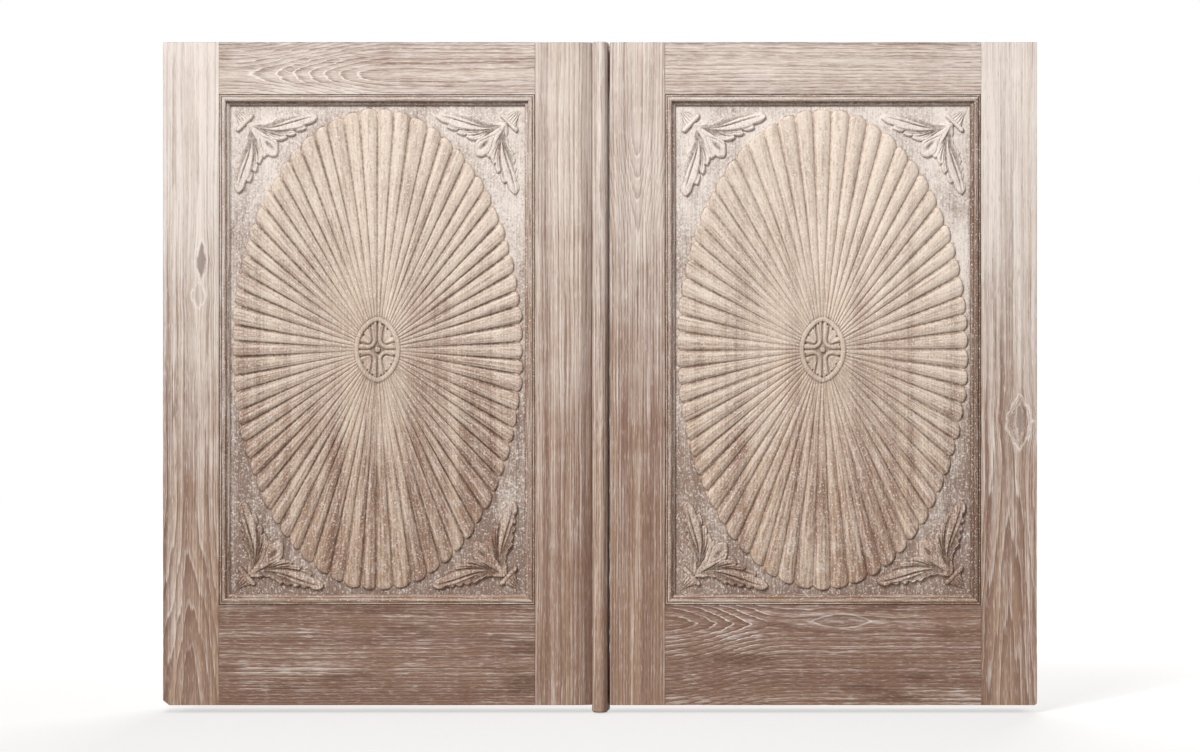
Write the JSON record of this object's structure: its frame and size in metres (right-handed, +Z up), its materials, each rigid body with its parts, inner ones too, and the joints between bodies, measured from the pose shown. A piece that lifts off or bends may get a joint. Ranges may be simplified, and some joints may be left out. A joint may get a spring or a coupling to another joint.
{
  "type": "double door",
  "caption": "Low pair of framed hardwood door leaves with carved oval sunburst panels, hung on butt hinges in a plain frame.",
  "frame": {"origin": "middle of the underside of the frame's sill, midway through the frame's depth", "axes": "+Z up, +X to the viewer's right across both leaves, carved faces look along -Y"},
  "size_m": [1.438, 0.108, 1.103],
  "materials": {
    "stile_wood": "limed, open-grained, worn satin",
    "rail_wood": "limed, open-grained, worn satin",
    "panel_wood": "limed, carved, worn satin",
    "moulding_wood": "darker limed, worn satin",
    "bead_wood": "limed, worn satin",
    "frame_wood": "limed, sawn, matt",
    "hinge_iron": "dark, dull"
  },
  "bodies": {
    "frame": {"frame_left_jamb": "frame_wood", "frame_right_jamb": "frame_wood", "frame_head": "frame_wood", "frame_sill": "frame_wood", "left_lower_hinge_frame_flap": "hinge_iron", "left_lower_hinge_pin": "hinge_iron", "left_upper_hinge_frame_flap": "hinge_iron", "left_upper_hinge_pin": "hinge_iron", "right_lower_hinge_frame_flap": "hinge_iron", "right_lower_hinge_pin": "hinge_iron", "right_upper_hinge_frame_flap": "hinge_iron", "right_upper_hinge_pin": "hinge_iron"},
    "left_leaf": {"left_hinge_stile": "stile_wood", "left_meeting_stile": "stile_wood", "left_top_rail": "rail_wood", "left_bottom_rail": "rail_wood", "left_carved_panel": "panel_wood", "left_moulding_bottom": "moulding_wood", "left_moulding_meeting_side": "moulding_wood", "left_moulding_top": "moulding_wood", "left_moulding_hinge_side": "moulding_wood", "left_lower_hinge_leaf_flap": "hinge_iron", "left_upper_hinge_leaf_flap": "hinge_iron", "meeting_bead": "bead_wood"},
    "right_leaf": {"right_hinge_stile": "stile_wood", "right_meeting_stile": "stile_wood", "right_top_rail": "rail_wood", "right_bottom_rail": "rail_wood", "right_carved_panel": "panel_wood", "right_moulding_bottom": "moulding_wood", "right_moulding_meeting_side": "moulding_wood", "right_moulding_top": "moulding_wood", "right_moulding_hinge_side": "moulding_wood", "right_lower_hinge_leaf_flap": "hinge_iron", "right_upper_hinge_leaf_flap": "hinge_iron"}
  },
  "joints": [
    {"name": "left_leaf_swing", "type": "hinge", "parent": "frame", "child": "left_leaf", "pos_m": [-0.7145, -0.031, 0.5355], "axis": [0, 0, -1], "range_deg": [0, 110]},
    {"name": "right_leaf_swing", "type": "hinge", "parent": "frame", "child": "right_leaf", "pos_m": [0.7145, -0.031, 0.5355], "axis": [0, 0, 1], "range_deg": [0, 110]}
  ]
}
